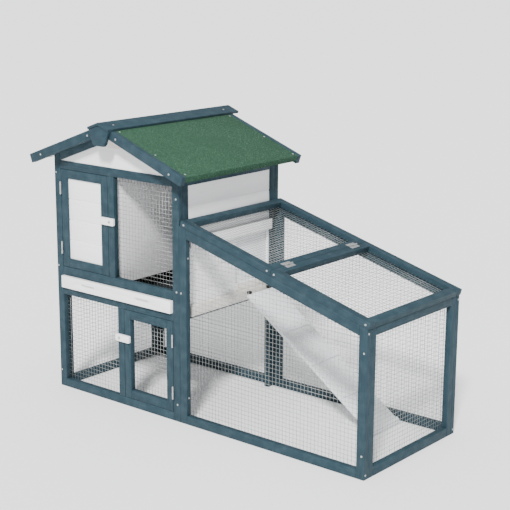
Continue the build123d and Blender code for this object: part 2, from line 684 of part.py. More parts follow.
def make_run_end(x1):
    """Low end frame of the run."""
    x0 = x1 - FRAME
    y0 = FRAME + SIDE_STILE
    y1 = DEPTH - y0
    rail_z = run_z(x1) - RUN_END_RAIL
    stile = prism_y([(x0, 0), (x1, 0), (x1, run_z(x1)), (x0, run_z(x0))], FRAME, y0)
    top = prism_y([(x0, rail_z), (x1, rail_z), (x1, run_z(x1)), (x0, run_z(x0))], y0, y1)
    save("run_end_frame", stile, mirrored_y(stile), top, block(x0, x1, y0, y1, 0, STILE))
    save("run_end_mesh", *mesh_x(rectangle(y0, y1, STILE, rail_z), x1 - WIRE_DEPTH))


def roof_panel(name, s0, s1, lift):
    """Framed wire panel lying on the run's slope."""
    plane = slope_plane()
    inner_s0 = s0 + LID_STILE
    inner_s1 = s1 - LID_STILE
    solids = [block(s0, s1, 0, LID_STILE, lift, LID_THICK),
              block(s0, s1, DEPTH - LID_STILE, DEPTH, lift, LID_THICK),
              block(s0, inner_s0, LID_STILE, DEPTH - LID_STILE, lift, LID_THICK),
              block(inner_s1, s1, LID_STILE, DEPTH - LID_STILE, lift, LID_THICK)]
    save(name + "_frame", *[on(plane, solid) for solid in solids])
    wires = wire_layers(rectangle(inner_s0, inner_s1, LID_STILE, DEPTH - LID_STILE))
    lifted = Pos(0, 0, LID_THICK - WIRE_DEPTH - WIRE)
    save(name + "_mesh", *[on(plane, lifted * wire) for wire in wires])


def make_run_roof():
    """Hinged lid, fixed panel and the two hinges between them."""
    roof_panel("run_lid", LID_START, LID_HINGE_S - GAP, GAP)
    roof_panel("run_roof_panel", LID_HINGE_S + GAP, LID_END, 0)
    # The leaf on the fixed panel lies down the slope from the pin, so the hinge is drawn mirrored.
    fixed, moving = butt_hinge(LID_HINGE_LENGTH, BARREL, PIN, top_leaf)
    plane = slope_plane()
    turn = Location(Plane(origin=(0, 0, 0), x_dir=(-1, 0, 0), z_dir=(0, 1, 0)))
    places = [Pos(LID_HINGE_S, y, LID_AXIS_N) * turn
              for y in (LID_HINGE_INSET, DEPTH - LID_HINGE_INSET - LID_HINGE_LENGTH)]
    save("lid_hinge_plates", *[on(plane, place * fixed) for place in places])
    save("lid_hinges", *[on(plane, place * moving) for place in places])


def front_head(x, y, z):
    """Screw head facing the front."""
    return rod((x, y, z), (x, y - SCREW_CAP_THICK, z), SCREW_CAP)


def side_head(x, y, z):
    """Screw head facing the right."""
    return rod((x, y, z), (x + SCREW_CAP_THICK, y, z), SCREW_CAP)


def slope_head(t, y, lift):
    """Nail head lying on the right slope, `lift` above the felt."""
    x0, z0 = roof_point(t, lift)
    x1, z1 = roof_point(t, lift + SCREW_CAP_THICK)
    return rod((x0, y, z0), (x1, y, z1), SCREW_CAP)


def roof_heads():
    """Nail heads along both ends of the felt and on the ridge cap."""
    front = FRAME - OVERHANG_FRONT + SCREW_CAP * 3
    back = DEPTH + OVERHANG_BACK - FRAME - SCREW_CAP * 3
    rows = (RIDGE_WING + SCREW_CAP * 3, EAVE_T * 0.6, EAVE_T - SCREW_CAP * 5)
    heads = [slope_head(t, y, 0) for t in rows for y in (front, back)]
    heads += [slope_head(RIDGE_WING / 2, y, RIDGE_CAP) for y in (front, back)]
    return heads + [mirrored_x(head) for head in heads]


def panel_heads(ends):
    """Screw heads in the front and back edges of a roof panel, at its rails."""
    heads = []
    for s in ends:
        front = on(slope_plane(), front_head(s, 0, LID_THICK / 2))
        heads += [front, mirrored_y(front)]
    return heads


def make_screws():
    """Small screw heads on the posts, barge boards and run frames."""
    inset = STILE / 4
    heads = [front_head(inset, 0, z) for z in (STILE * 2, MID_RAIL_TOP, TOP_RAIL_Z - STILE / 2)]
    right_x = HOUSE_WIDTH - inset * 1.6
    heads += [front_head(right_x, 0, z) for z in (STILE * 2, MID_RAIL_TOP, TOP_RAIL_Z - STILE * 1.3)]
    for t in (EAVE_T / 5, EAVE_T - BARGE * 1.8):
        x, z = roof_point(t, -BARGE / 2)
        right = front_head(x, -OVERHANG_FRONT, z)
        left = mirrored_x(right)
        heads += [right, left]
    run_post_x = HOUSE_WIDTH + STILE
    heads.append(front_head(run_post_x - inset * 3, 0, MID_RAIL_TOP))
    heads += [side_head(run_post_x, FRAME / 2, z) for z in (STILE * 3, RUN_HIGH - STILE * 3.5)]
    heads += [front_head(TOTAL_LENGTH - inset * 1.4, 0, z) for z in (STILE * 2.5, RUN_LOW - STILE * 2.5)]
    for y in (inset, DEPTH - inset):
        heads += [side_head(TOTAL_LENGTH, y, z) for z in (STILE / 2, RUN_LOW - STILE / 2)]
    heads += roof_heads()
    save("frame_screws", *heads, *panel_heads((LID_HINGE_S + LID_STILE / 2, LID_END - LID_STILE / 2)))
    save("lid_screws", *panel_heads((LID_START + LID_STILE / 2, LID_HINGE_S - LID_STILE / 2)))


make_posts()
make_front_rails()
make_front_meshes()
make_back()
make_left_side()
make_right_side()
make_sliding_door()
make_partition()
make_tray()
make_gables()
make_roof()
make_upper_door()
make_lower_door()
make_door_hinges()
make_buttons()
make_ramp()
make_run_walls()
make_run_roof()
make_screws()
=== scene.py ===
"""Looks of the two-storey rabbit hutch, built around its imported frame."""

import json
import logging
import math
import random
from collections import Counter
from dataclasses import dataclass, field
from enum import Enum

import bmesh
import bpy
from mathutils import Matrix, Vector


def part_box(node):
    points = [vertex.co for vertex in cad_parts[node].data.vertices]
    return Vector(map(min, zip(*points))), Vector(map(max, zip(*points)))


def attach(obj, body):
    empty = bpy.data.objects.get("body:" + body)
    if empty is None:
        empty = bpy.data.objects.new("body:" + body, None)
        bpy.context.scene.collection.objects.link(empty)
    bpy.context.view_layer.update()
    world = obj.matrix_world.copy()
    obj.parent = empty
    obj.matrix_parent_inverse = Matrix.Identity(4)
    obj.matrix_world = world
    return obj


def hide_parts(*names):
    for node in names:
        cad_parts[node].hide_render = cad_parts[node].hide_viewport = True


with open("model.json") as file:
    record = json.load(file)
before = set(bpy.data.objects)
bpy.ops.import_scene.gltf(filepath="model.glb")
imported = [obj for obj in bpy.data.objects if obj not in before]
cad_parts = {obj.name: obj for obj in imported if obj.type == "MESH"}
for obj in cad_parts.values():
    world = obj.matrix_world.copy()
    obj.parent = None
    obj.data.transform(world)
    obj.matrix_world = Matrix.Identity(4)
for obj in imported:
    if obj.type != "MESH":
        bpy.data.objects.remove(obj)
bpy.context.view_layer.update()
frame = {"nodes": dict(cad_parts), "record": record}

log = logging.getLogger("hutch")

MM = 0.001
WELD = 1e-6
FLAT_ANGLE = math.radians(0.5)
SMOOTH_ANGLE = math.radians(35)
GRAIN = "grain"
TONE = "tone"

Colour = tuple[float, float, float]


class Run(Enum):
    """Which way the fibres of a board run."""

    LONGEST_EDGE = None
    ALONG_X = (1.0, 0.0, 0.0)
    ALONG_Y = (0.0, 1.0, 0.0)
    ALONG_Z = (0.0, 0.0, 1.0)


class Facing(Enum):
    """The plane a wire panel lies in."""

    FRONT = "front"
    SIDE = "side"
    SLOPE = "slope"


def deselect_all() -> None:
    """Leave edit mode and select nothing."""
    if bpy.context.object and bpy.context.object.mode != "OBJECT":
        bpy.ops.object.mode_set(mode="OBJECT")
    bpy.ops.object.select_all(action="DESELECT")


def activate(obj: bpy.types.Object) -> None:
    """Select one object alone and make it the active one."""
    deselect_all()
    obj.select_set(True)
    bpy.context.view_layer.objects.active = obj


def apply_modifier(obj: bpy.types.Object, kind: str, **settings: object) -> None:
    """Add a modifier and apply it.

    Args:
        obj: The object that is changed.
        kind: The modifier's type name.
        settings: Values given to the modifier.
    """
    activate(obj)
    modifier = obj.modifiers.new(kind.lower(), kind)
    for key, value in settings.items():
        setattr(modifier, key, value)
    bpy.ops.object.modifier_apply(modifier=modifier.name)


def soften(obj: bpy.types.Object, width: float, segments: int = 2, angle: float = 25.0) -> None:
    """Round the arrises of a piece and shade it.

    Args:
        obj: The piece.
        width: Width of the rounding in metres.
        segments: Faces across the rounding.
        angle: Edges sharper than this many degrees are rounded.
    """
    apply_modifier(obj, "BEVEL", width=width, segments=segments, limit_method="ANGLE",
                   angle_limit=math.radians(angle), use_clamp_overlap=True)
    activate(obj)
    bpy.ops.object.shade_smooth_by_angle(angle=SMOOTH_ANGLE)


def stand_for(piece: bpy.types.Object, node: str) -> None:
    """Show a piece in place of a frame node and let it move with that node's body.

    Args:
        piece: The new piece.
        node: Name of the frame's node.
    """
    bodies = frame["record"]["behaviour"]["bodies"]
    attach(piece, next(body for body, members in bodies.items() if node in members))
    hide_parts(node)


def face_patches(shape: bmesh.types.BMesh) -> list[list[bmesh.types.BMFace]]:
    """Collect the faces that already hang together, in their stored order."""
    seen: set[bmesh.types.BMFace] = set()
    patches = []
    for start in shape.faces:
        if start in seen:
            continue
        seen.add(start)
        patch = [start]
        for face in patch:
            for other in (near for edge in face.edges for near in edge.link_faces):
                if other not in seen:
                    seen.add(other)
                    patch.append(other)
        patches.append(patch)
    return patches


def edge_key(edge: bmesh.types.BMEdge) -> frozenset:
    """Name an edge by where its ends lie, to a hundredth of a millimetre."""
    return frozenset(tuple(round(value, 5) for value in vert.co) for vert in edge.verts)


def weld_solids(mesh: bpy.types.Mesh) -> None:
    """Weld the faces of each solid together but leave touching solids apart.

    Args:
        mesh: A mesh whose faces are stored solid by solid.
    """
    shape = bmesh.new()
    shape.from_mesh(mesh)
    groups: list[list[bmesh.types.BMFace]] = [[]]
    sides: Counter = Counter()
    for patch in face_patches(shape):
        groups[-1] += patch
        sides.update(edge_key(edge) for face in patch for edge in face.edges)
        if all(count == 2 for count in sides.values()):
            groups.append([])
            sides.clear()
    if groups[-1]:
        log.warning("%s: %d faces close no solid", mesh.name, len(groups[-1]))
    corners = [list({vert for face in group for vert in face.verts}) for group in groups if group]
    for verts in corners:
        bmesh.ops.remove_doubles(shape, verts=verts, dist=WELD)
    shape.to_mesh(mesh)
    shape.free()


def copy_of(node: str, name: str, shown: bool = True) -> bpy.types.Object:
    """Make a clean copy of a node of the frame, welded solid by solid.

    Args:
        node: Name of the frame's node.
        name: Name of the new piece.
        shown: Whether the copy stands for the node.

    Returns:
        The new piece.
    """
    source = frame["nodes"][node]
    piece = bpy.data.objects.new(name, source.data.copy())
    bpy.context.scene.collection.objects.link(piece)
    piece.data.materials.clear()
    weld_solids(piece.data)
    activate(piece)
    bpy.ops.object.mode_set(mode="EDIT")
    bpy.ops.mesh.select_all(action="SELECT")
    bpy.ops.mesh.dissolve_limited(angle_limit=FLAT_ANGLE)
    bpy.ops.object.mode_set(mode="OBJECT")
    if shown:
        stand_for(piece, node)
    return piece


def islands_of(mesh: bpy.types.Mesh) -> list[list[int]]:
    """Find the loose parts of a mesh.

    Args:
        mesh: The mesh.

    Returns:
        Vertex numbers of each part, in a steady order.
    """
    shape = bmesh.new()
    shape.from_mesh(mesh)
    seen: set[int] = set()
    parts = []
    for start in shape.verts:
        if start.index in seen:
            continue
        seen.add(start.index)
        stack = [start]
        part = []
        while stack:
            vert = stack.pop()
            part.append(vert.index)
            for edge in vert.link_edges:
                other = edge.other_vert(vert)
                if other.index not in seen:
                    seen.add(other.index)
                    stack.append(other)
        parts.append(part)
    shape.free()
    return parts


def mark_grain(piece: bpy.types.Object, run: Run, seed: str) -> None:
    """Store on each board of a piece which way its fibres run and how dark it is.

    Args:
        piece: The piece, before its arrises are rounded.
        run: The fibres' direction, or each board's own longest edge.
        seed: Text that fixes the random shades.
    """
    mesh = piece.data
    mesh.attributes.new(GRAIN, "FLOAT_VECTOR", "POINT")
    mesh.attributes.new(TONE, "FLOAT", "POINT")
    grain = mesh.attributes[GRAIN]
    tone = mesh.attributes[TONE]
    chance = random.Random(seed)
    part_of = {}
    parts = islands_of(mesh)
    for number, part in enumerate(parts):
        for index in part:
            part_of[index] = number
    longest = [Vector((0.0, 0.0, 0.0)) for _ in parts]
    for edge in mesh.edges:
        first, second = edge.vertices
        step = mesh.vertices[second].co - mesh.vertices[first].co
        if step.length > longest[part_of[first]].length:
            longest[part_of[first]] = step
    for number, part in enumerate(parts):
        direction = Vector(run.value) if run.value else longest[number].normalized()
        shade = chance.random()
        for index in part:
            grain.data[index].vector = direction
            tone.data[index].value = shade


@dataclass(frozen=True)
class Disc:
    """A small round head of the frame."""

    centre: Vector
    axis: Vector
    radius: float
    depth: float


def discs_of(node: str, inward: Vector) -> list[Disc]:
    """Measure each round head of a frame node.

    Args:
        node: Name of the frame's node.
        inward: A point that every head faces away from.

    Returns:
        The heads, each with its axis pointing outwards.
    """
    probe = copy_of(node, "probe", shown=False)
    mesh = probe.data
    discs = []
    for part in islands_of(mesh):
        members = set(part)
        faces = [face for face in mesh.polygons if face.vertices[0] in members]
        axis = max(faces, key=lambda face: face.area).normal.copy()
        points = [mesh.vertices[index].co for index in part]
        centre = sum(points, Vector()) / len(points)
        if axis.dot(centre - inward) < 0:
            axis.negate()
        heights = [(point - centre).dot(axis) for point in points]
        radius = max((point - centre - axis * height).length for point, height in zip(points, heights))
        discs.append(Disc(centre, axis, radius, max(heights) - min(heights)))
    bpy.data.objects.remove(probe)
    return discs


class NodeSheet:
    """Short way to add and join shader nodes in one tree."""

    def __init__(self, tree: bpy.types.NodeTree) -> None:
        """Start on an empty tree."""
        self.tree = tree
        tree.nodes.clear()

    def add(self, kind: str, links: dict | None = None, **settings: object) -> bpy.types.Node:
        """Add a node.

        Args:
            kind: The node's type, without the ShaderNode prefix.
            links: Input name or number to a socket or a value.
            settings: Properties of the node.

        Returns:
            The new node.
        """
        node = self.tree.nodes.new("ShaderNode" + kind)
        for key, value in settings.items():
            setattr(node, key, value)
        for key, value in (links or {}).items():
            if isinstance(value, bpy.types.NodeSocket):
                self.tree.links.new(value, node.inputs[key])
            else:
                node.inputs[key].default_value = value
        return node

    def maths(self, operation: str, *values: object) -> bpy.types.NodeSocket:
        """Add a Math node and give back its result."""
        return self.add("Math", dict(enumerate(values)), operation=operation).outputs[0]

    def ramp(self, value: bpy.types.NodeSocket, stops: list[tuple[float, float]]) -> bpy.types.NodeSocket:
        """Map a value through a grey ramp.

        Args:
            value: The value that is mapped.
            stops: Position and level of each stop.

        Returns:
            The mapped level.
        """
        node = self.add("ValToRGB", {0: value})
        elements = node.color_ramp.elements
        for number, (place, level) in enumerate(stops):
            element = elements[number] if number < len(elements) else elements.new(place)
            element.position = place
            element.color = (level, level, level, 1.0)
        return node.outputs[0]

    def blend(self, factor: object, first: object, second: object) -> bpy.types.NodeSocket:
        """Mix two colours."""
        node = self.add("Mix", None, data_type="RGBA")
        for key, value in ((0, factor), (6, first), (7, second)):
            if isinstance(value, bpy.types.NodeSocket):
                self.tree.links.new(value, node.inputs[key])
            elif key:
                node.inputs[key].default_value = (*value, 1.0)
            else:
                node.inputs[key].default_value = value
        return node.outputs[2]


class SharedEffects:
    """Shader node groups that several finishes use."""

    def __init__(self) -> None:
        """Build every group once."""
        self.grain = self._build_grain()
        self.wear = self._build_wear()
        self.grit = self._build_grit()

    @staticmethod
    def _group(name: str, inputs: dict[str, float],
               outputs: list[str]) -> tuple[bpy.types.NodeTree, NodeSheet]:
        """Open a group with named sockets.

        Args:
            name: The group's name.
            inputs: Input names and their usual values.
            outputs: Output names.

        Returns:
            The group and a sheet to draw on.
        """
        tree = bpy.data.node_groups.new(name, "ShaderNodeTree")
        for key, value in inputs.items():
            socket = tree.interface.new_socket(key, in_out="INPUT", socket_type="NodeSocketFloat")
            socket.default_value = value
        for key in outputs:
            tree.interface.new_socket(key, in_out="OUTPUT", socket_type="NodeSocketFloat")
        return tree, NodeSheet(tree)

    @staticmethod
    def _ends(sheet: NodeSheet) -> tuple[bpy.types.Node, bpy.types.Node]:
        """Add the group's input and output nodes."""
        return sheet.tree.nodes.new("NodeGroupInput"), sheet.tree.nodes.new("NodeGroupOutput")

    def _build_grain(self) -> bpy.types.NodeTree:
        """Fibres, growth rings and shade of sawn fir under thin paint."""
        tree, sheet = self._group("sawn_grain", {"Fibre": 900.0, "Rings": 60.0},
                                  ["Fibres", "Rings", "Tone", "Height"])
        start, end = self._ends(sheet)
        place = sheet.add("TexCoord").outputs["Object"]
        direction = sheet.add("Attribute", None, attribute_name=GRAIN).outputs["Vector"]
        shade = sheet.add("Attribute", None, attribute_name=TONE).outputs["Fac"]
        along = sheet.add("VectorMath", {0: place, 1: direction}, operation="DOT_PRODUCT").outputs["Value"]
        shift = sheet.maths("MULTIPLY", shade, 7.0)
        lengthwise = sheet.add("VectorMath", {0: direction, "Scale": along}, operation="SCALE").outputs[0]
        across = sheet.add("VectorMath", {0: place, 1: lengthwise}, operation="SUBTRACT").outputs[0]
        slow = sheet.add("VectorMath", {0: lengthwise, "Scale": 0.035}, operation="SCALE").outputs[0]
        stretched = sheet.add("VectorMath", {0: across, 1: slow}, operation="ADD").outputs[0]
        offset = sheet.add("CombineXYZ", {0: shift, 1: shift, 2: shift}).outputs[0]
        moved = sheet.add("VectorMath", {0: stretched, 1: offset}, operation="ADD").outputs[0]
        fibre = sheet.add("TexNoise", {"Vector": moved, "Scale": start.outputs["Fibre"], "Detail": 3.0,
                                       "Roughness": 0.6}).outputs["Fac"]
        wide = sheet.add("TexNoise", {"Vector": moved, "Scale": start.outputs["Rings"], "Detail": 4.0,
                                      "Distortion": 0.6}).outputs["Fac"]
        wave = sheet.maths("SINE", sheet.maths("MULTIPLY", wide, 42.0))
        rings = sheet.ramp(sheet.maths("MULTIPLY_ADD", wave, 0.5, 0.5), [(0.45, 0.0), (1.0, 1.0)])
        fibres = sheet.ramp(fibre, [(0.38, 0.0), (0.66, 1.0)])
        height = sheet.maths("ADD", sheet.maths("MULTIPLY", fibres, 0.7), sheet.maths("MULTIPLY", rings, 0.5))
        for key, value in (("Fibres", fibres), ("Rings", rings), ("Tone", shade), ("Height", height)):
            tree.links.new(value, end.inputs[key])
        return tree

    def _build_wear(self) -> bpy.types.NodeTree:
        """Paint rubbed thin on arrises, broken up by patches."""
        tree, sheet = self._group("rubbed_edges", {"Patches": 35.0, "Amount": 1.0}, ["Mask"])
        start, end = self._ends(sheet)
        place = sheet.add("TexCoord").outputs["Object"]
        corner = sheet.ramp(sheet.add("NewGeometry").outputs["Pointiness"], [(0.51, 0.0), (0.6, 1.0)])
        patches = {"Vector": place, "Scale": start.outputs["Patches"], "Detail": 5.0}
        patch = sheet.add("TexNoise", patches).outputs["Fac"]
        broken = sheet.ramp(patch, [(0.42, 0.0), (0.68, 1.0)])
        mask = sheet.maths("MULTIPLY", sheet.maths("MULTIPLY", corner, broken), start.outputs["Amount"])
        tree.links.new(mask, end.inputs["Mask"])
        return tree

    def _build_grit(self) -> bpy.types.NodeTree:
        """Small grains or spangles in random shades."""
        tree, sheet = self._group("grit", {"Size": 700.0}, ["Shade", "Height"])
        start, end = self._ends(sheet)
        place = sheet.add("TexCoord").outputs["Object"]
        cells = sheet.add("TexVoronoi", {"Vector": place, "Scale": start.outputs["Size"]})
        shade = sheet.add("SeparateColor", {0: cells.outputs["Color"]}).outputs[0]
        height = sheet.maths("SUBTRACT", 1.0, cells.outputs["Distance"])
        tree.links.new(shade, end.inputs["Shade"])
        tree.links.new(height, end.inputs["Height"])
        return tree


@dataclass(frozen=True)
class Finish:
    """A surface finish and how its material is made."""

    name: str
    base: Colour
    dark: Colour
    roughness: float
    bump: float
    gloss: float = 0.5

    def open_material(self) -> tuple[bpy.types.Material, NodeSheet, bpy.types.Node]:
        """Start a material with a Principled shader wired to the output."""
        material = bpy.data.materials.new(self.name)
        material.use_nodes = True
        sheet = NodeSheet(material.node_tree)
        shader = sheet.add("BsdfPrincipled", {"Roughness": self.roughness, "Specular IOR Level": self.gloss})
        output = sheet.add("OutputMaterial")
        material.node_tree.links.new(shader.outputs[0], output.inputs["Surface"])
        material.diffuse_color = (*self.base, 1.0)
        return material, sheet, shader

    def add_bump(self, sheet: NodeSheet, shader: bpy.types.Node, height: bpy.types.NodeSocket,
                 depth: float) -> None:
        """Raise the surface by a height pattern.

        Args:
            sheet: The material's sheet.
            shader: The Principled node.
            height: The pattern.
            depth: Real depth of the pattern in metres.
        """
        bump = sheet.add("Bump", {"Height": height, "Strength": self.bump, "Distance": depth})
        sheet.tree.links.new(bump.outputs[0], shader.inputs["Normal"])

    def make(self, shared: SharedEffects) -> bpy.types.Material:
        """Build the material."""
        raise NotImplementedError


@dataclass(frozen=True)
class PaintedTimber(Finish):
    """Thin water-based paint on sawn fir, with the grain showing through."""

    worn: Colour = (0.2, 0.2, 0.2)
    grain_depth: float = 0.35
    fibre: float = 900.0
    wear: float = 1.0

    def make(self, shared: SharedEffects) -> bpy.types.Material:
        """Build the material."""
        material, sheet, shader = self.open_material()
        grain = sheet.add("Group", None, node_tree=shared.grain)
        grain.inputs["Fibre"].default_value = self.fibre
        wear = sheet.add("Group", None, node_tree=shared.wear)
        wear.inputs["Amount"].default_value = self.wear
        streaks = sheet.maths("MULTIPLY", grain.outputs["Fibres"], self.grain_depth)
        bands = sheet.maths("MULTIPLY_ADD", grain.outputs["Rings"], self.grain_depth * 0.8, streaks)
        shade = sheet.maths("MULTIPLY_ADD", grain.outputs["Tone"], self.grain_depth * 0.6, bands)
        toned = sheet.blend(shade, self.base, self.dark)
        worn = sheet.blend(wear.outputs["Mask"], toned, self.worn)
        sheet.tree.links.new(worn, shader.inputs["Base Color"])
        rough = sheet.maths("MULTIPLY_ADD", grain.outputs["Fibres"], 0.14, self.roughness - 0.06)
        sheet.tree.links.new(rough, shader.inputs["Roughness"])
        self.add_bump(sheet, shader, grain.outputs["Height"], 0.0004)
        return material


@dataclass(frozen=True)
class MineralFelt(Finish):
    """Roofing felt covered in stone chippings."""

    pale: Colour = (0.09, 0.165, 0.11)

    def make(self, shared: SharedEffects) -> bpy.types.Material:
        """Build the material."""
        material, sheet, shader = self.open_material()
        chips = sheet.add("Group", {"Size": 620.0}, node_tree=shared.grit)
        place = sheet.add("TexCoord").outputs["Object"]
        noise = sheet.add("TexNoise", {"Vector": place, "Scale": 9.0, "Detail": 6.0, "Roughness": 0.65})
        cloud = noise.outputs["Fac"]
        spread = sheet.ramp(chips.outputs["Shade"], [(0.1, 0.0), (0.9, 1.0)])
        mixed = sheet.blend(spread, self.dark, self.base)
        flecks = sheet.ramp(chips.outputs["Shade"], [(0.86, 0.0), (0.95, 1.0)])
        speckled = sheet.blend(sheet.maths("MULTIPLY", flecks, 0.7), mixed, self.pale)
        clouded = sheet.blend(sheet.ramp(cloud, [(0.35, 0.0), (0.75, 0.35)]), speckled, self.dark)
        sheet.tree.links.new(clouded, shader.inputs["Base Color"])
        self.add_bump(sheet, shader, chips.outputs["Height"], 0.0012)
        return material


@dataclass(frozen=True)
class ZincedSteel(Finish):
    """Galvanised or zinc plated steel with a faint spangle."""

    metallic: float = 0.85
    spangle: float = 260.0

    def make(self, shared: SharedEffects) -> bpy.types.Material:
        """Build the material."""
        material, sheet, shader = self.open_material()
        spangle = sheet.add("Group", {"Size": self.spangle}, node_tree=shared.grit)
        tint = sheet.blend(spangle.outputs["Shade"], self.base, self.dark)
        sheet.tree.links.new(tint, shader.inputs["Base Color"])
        rough = sheet.maths("MULTIPLY_ADD", spangle.outputs["Shade"], 0.18, self.roughness)
        sheet.tree.links.new(rough, shader.inputs["Roughness"])
        shader.inputs["Metallic"].default_value = self.metallic
        return material


@dataclass(frozen=True)
class MouldedPlastic(Finish):
    """Vacuum formed plastic with a fine leathery skin."""

    def make(self, shared: SharedEffects) -> bpy.types.Material:
        """Build the material."""
        material, sheet, shader = self.open_material()
        place = sheet.add("TexCoord").outputs["Object"]
        skin = sheet.add("TexNoise", {"Vector": place, "Scale": 1400.0, "Detail": 2.0}).outputs["Fac"]
        scuffs = sheet.add("TexNoise", {"Vector": place, "Scale": 22.0, "Detail": 6.0}).outputs["Fac"]
        marks = sheet.ramp(scuffs, [(0.55, 0.0), (0.8, 0.6)])
        sheet.tree.links.new(sheet.blend(marks, self.base, self.dark), shader.inputs["Base Color"])
        rough = sheet.maths("MULTIPLY_ADD", marks, 0.2, self.roughness)
        sheet.tree.links.new(rough, shader.inputs["Roughness"])
        self.add_bump(sheet, shader, skin, 0.0002)
        return material


@dataclass(frozen=True)
class MattFloor(Finish):
    """Plain pale studio floor."""

    def make(self, shared: SharedEffects) -> bpy.types.Material:
        """Build the material."""
        material, sheet, shader = self.open_material()
        place = sheet.add("TexCoord").outputs["Object"]
        mottle = sheet.add("TexNoise", {"Vector": place, "Scale": 3.0, "Detail": 3.0}).outputs["Fac"]
        sheet.tree.links.new(sheet.blend(mottle, self.base, self.dark), shader.inputs["Base Color"])
        return material


class Wardrobe:
    """All finishes of the hutch, made once."""

    def __init__(self) -> None:
        """Build the shared effects and every material."""
        shared = SharedEffects()
        finishes = [
            PaintedTimber("blue_paint", (0.017, 0.039, 0.052), (0.01, 0.026, 0.036), 0.66, 0.5,
                          gloss=0.2, worn=(0.045, 0.075, 0.092), grain_depth=0.4, wear=0.45),
            PaintedTimber("white_paint", (0.88, 0.885, 0.9), (0.79, 0.79, 0.8), 0.5, 0.35,
                          worn=(0.9, 0.89, 0.87), grain_depth=0.3, fibre=700.0, wear=0.5),
            # Bluish white: the ramp's own paint, and painted sunlight on the sliding door to set it off from
            # the wall beside it.
            PaintedTimber("ramp_paint_and_painted_sunlight", (0.8, 0.825, 0.85), (0.7, 0.73, 0.76), 0.6, 0.5,
                          worn=(0.8, 0.79, 0.77), grain_depth=0.4, wear=0.7),
            # Darker cream: painted shade on the wall skirting and doorway threshold, and the bare beige of
            # the ridge purlin.
            PaintedTimber("cream_paint_and_painted_shade", (0.7, 0.68, 0.63), (0.56, 0.53, 0.48), 0.6, 0.4,
                          worn=(0.85, 0.82, 0.77), grain_depth=0.35, wear=0.6),
            MineralFelt("green_felt", (0.034, 0.088, 0.054), (0.016, 0.046, 0.027), 0.95, 0.8, gloss=0.15),
            ZincedSteel("wire_zinc", (0.42, 0.43, 0.42), (0.25, 0.26, 0.255), 0.42, 0.0, metallic=0.7),
            ZincedSteel("plated_steel", (0.55, 0.56, 0.56), (0.4, 0.41, 0.41), 0.34, 0.0),
            ZincedSteel("dark_steel", (0.035, 0.035, 0.035), (0.015, 0.015, 0.015), 0.45, 0.0, metallic=0.6),
            MouldedPlastic("black_plastic", (0.018, 0.021, 0.024), (0.035, 0.04, 0.042), 0.4, 0.3),
            MattFloor("pale_floor", (0.93, 0.93, 0.935), (0.92, 0.92, 0.925), 0.9, 0.0),
        ]
        self.materials = {finish.name: finish.make(shared) for finish in finishes}

    def dress(self, piece: bpy.types.Object, finish: str) -> None:
        """Give a piece one finish all over."""
        piece.data.materials.clear()
        piece.data.materials.append(self.materials[finish])


@dataclass
class Joinery:
    """Boards, rails and posts, each with rounded arrises and its own grain."""

    wardrobe: Wardrobe
    arris: float = 1.4 * MM
    plank_arris: float = 0.5 * MM
    blue: list[str] = field(default_factory=lambda: [
        "front_post_left", "front_post_right", "front_rails", "upper_mullion", "lower_mullion", "back_frame",
        "left_side_frame", "right_side_frame", "gable_rails", "barge_boards", "apex_plate",
        "upper_door_frame", "lower_door_frame", "run_front_frame", "run_back_frame", "run_end_frame",
        "run_lid_frame", "run_roof_panel_frame", "tray_runners"])
    white: dict[str, Run] = field(default_factory=lambda: {
        "left_planks": Run.ALONG_Y, "right_planks": Run.ALONG_Y, "back_planks": Run.ALONG_X,
        "gable_panels": Run.ALONG_X, "upper_door_planks": Run.ALONG_X, "partition": Run.ALONG_Z,
        "tray_front": Run.ALONG_X, "wall_batten": Run.ALONG_Y,
        "slide_guides": Run.ALONG_Y, "roof_decks": Run.ALONG_Y, "upper_turn_button": Run.ALONG_X,
        "lower_turn_button": Run.ALONG_X})
    # Skirting and threshold get darker cream as painted shade; the ridge purlin's cream is its own beige.
    cream_and_shaded: list[str] = field(default_factory=lambda: ["wall_skirting", "doorway_threshold", "ridge_purlin"])
    # The sliding door gets the bluish ramp white as painted sunlight.
    ramp: list[str] = field(default_factory=lambda: ["ramp_board", "ramp_cleats", "sliding_door"])

    def board(self, node: str, finish: str, run: Run, arris: float) -> None:
        """Make one node's boards.

        Args:
            node: The frame node they stand for.
            finish: Name of the finish.
            run: Direction of the fibres.
            arris: Rounding of the edges in metres.
        """
        piece = copy_of(node, node + "_timber")
        mark_grain(piece, run, node)
        soften(piece, arris)
        self.wardrobe.dress(piece, finish)

    def build(self) -> None:
        """Make every timber piece."""
        for node in self.blue:
            self.board(node, "blue_paint", Run.LONGEST_EDGE, self.arris)
        for node, run in self.white.items():
            self.board(node, "white_paint", run, self.plank_arris)
        for node in self.cream_and_shaded:
            self.board(node, "cream_paint_and_painted_shade", Run.ALONG_Y, self.plank_arris)
        for node in self.ramp:
            self.board(node, "ramp_paint_and_painted_sunlight", Run.LONGEST_EDGE, self.plank_arris)
        log.info("timber pieces made")


@dataclass
class RoofCovering:
    """Felt on both slopes and the ridge cap."""

    wardrobe: Wardrobe
    edge: float = 0.8 * MM

    def build(self) -> None:
        """Make the felt and the cap."""
        felt = copy_of("roof_felt", "felt_sheets")
        soften(felt, self.edge)
        self.wardrobe.dress(felt, "green_felt")
        cap = copy_of("ridge_cap", "ridge_capping")
        mark_grain(cap, Run.ALONG_Y, "cap")
        soften(cap, self.edge)
        self.wardrobe.dress(cap, "blue_paint")
        log.info("roof covering made")


